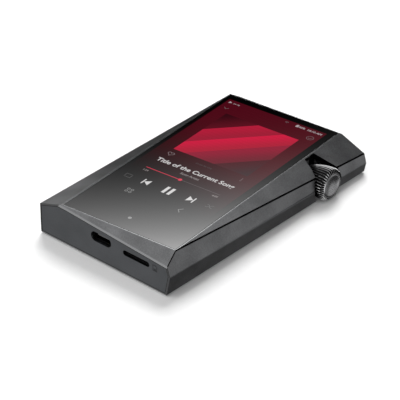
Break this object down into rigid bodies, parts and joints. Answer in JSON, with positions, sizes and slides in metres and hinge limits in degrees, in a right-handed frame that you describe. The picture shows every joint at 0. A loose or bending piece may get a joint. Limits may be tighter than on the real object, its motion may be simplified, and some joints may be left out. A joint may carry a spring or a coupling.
{
  "type": "digital audio player",
  "caption": "Faceted pocket digital audio player with a turned touch screen, a side volume wheel, side and top keys, headphone sockets and charging and card ports.",
  "frame": {"origin": "on the rear cover's flat face, under the middle of the case", "axes": "+X towards the volume wheel's side, +Y towards the end with the headphone sockets, +Z out of the screen"},
  "size_m": [0.0646, 0.1087, 0.016],
  "materials": {
    "case_aluminium": "bead-blasted, anodised gunmetal grey",
    "end_plate": "fine satin, anodised blue-grey",
    "rear_panel": "satin anodised dark grey",
    "cover_glass": "polished, black printed border",
    "glue": "black adhesive tape",
    "display": "lit colour display under glass",
    "steel_sheet": "thin pressed sheet",
    "flex": "polyimide film",
    "circuit_board": "solder mask",
    "chip": "moulded chip packages",
    "port_plastic": "moulded black insulator",
    "contact_metal": "gold plated",
    "spring_steel": "bright steel",
    "brass": "turned",
    "key_metal": "satin anodised",
    "wheel_metal": "turned and knurled, dark anodised, edges bright",
    "wheel_cap": "spun dish, dark anodised",
    "battery_foil": "laminated foil pouch"
  },
  "bodies": {
    "case": {"amplifier_shield": "steel_sheet", "antenna": "flex", "battery_board": "circuit_board", "battery_cell": "battery_foil", "battery_connector": "port_plastic", "battery_lead": "flex", "battery_tape": "glue", "board_chips": "chip", "board_screws": "spring_steel", "bottom_end_plate": "end_plate", "card_base": "port_plastic", "card_contacts": "contact_metal", "card_shell": "steel_sheet", "card_spring": "spring_steel", "case_frame": "case_aluminium", "converter_shield": "steel_sheet", "cover_glass": "cover_glass", "display_flex": "flex", "display_panel": "display", "display_tray": "steel_sheet", "encoder_board": "circuit_board", "encoder_body": "port_plastic", "encoder_bush": "brass", "frame_screws": "spring_steel", "glass_adhesive": "glue", "jack_25_housing": "port_plastic", "jack_25_ring": "contact_metal", "jack_35_housing": "port_plastic", "jack_35_ring": "contact_metal", "jack_44_housing": "port_plastic", "jack_44_ring": "contact_metal", "jack_board": "circuit_board", "key_domes": "contact_metal", "main_board": "circuit_board", "mid_plate": "steel_sheet", "power_board": "circuit_board", "power_switch": "port_plastic", "processor_shield": "steel_sheet", "rear_adhesive": "glue", "rear_cover": "rear_panel", "side_key_board": "circuit_board", "top_end_plate": "end_plate", "touch_sensor": "display", "usb_c_contacts": "contact_metal", "usb_c_shell": "steel_sheet", "usb_c_tongue": "port_plastic"},
    "volume_wheel": {"volume_knob": "wheel_metal", "knob_cap": "wheel_cap", "encoder_shaft": "spring_steel", "encoder_rotor": "contact_metal"},
    "power_key": {"power_button": "key_metal"},
    "next_key": {"next_button": "key_metal"},
    "play_key": {"play_button": "key_metal"},
    "previous_key": {"previous_button": "key_metal"},
    "card_pusher": {"card_slider": "port_plastic"}
  },
  "joints": [
    {"name": "volume_turn", "type": "hinge", "parent": "case", "child": "volume_wheel", "pos_m": [0.031, 0.031, 0.00642], "axis": [1, 0, 0], "continuous": true},
    {"name": "power_press", "type": "slide", "parent": "case", "child": "power_key", "axis": [0, -1, 0], "range_m": [0, 0.00035], "stiffness_N_per_m": 1500},
    {"name": "next_press", "type": "slide", "parent": "case", "child": "next_key", "axis": [1, 0, 0], "range_m": [0, 0.00035], "stiffness_N_per_m": 1500},
    {"name": "play_press", "type": "slide", "parent": "case", "child": "play_key", "axis": [1, 0, 0], "range_m": [0, 0.00035], "stiffness_N_per_m": 1500},
    {"name": "previous_press", "type": "slide", "parent": "case", "child": "previous_key", "axis": [1, 0, 0], "range_m": [0, 0.00035], "stiffness_N_per_m": 1500},
    {"name": "card_push", "type": "slide", "parent": "case", "child": "card_pusher", "axis": [0, 1, 0], "range_m": [0, 0.001], "stiffness_N_per_m": 600, "deforming": ["card_spring"]}
  ]
}
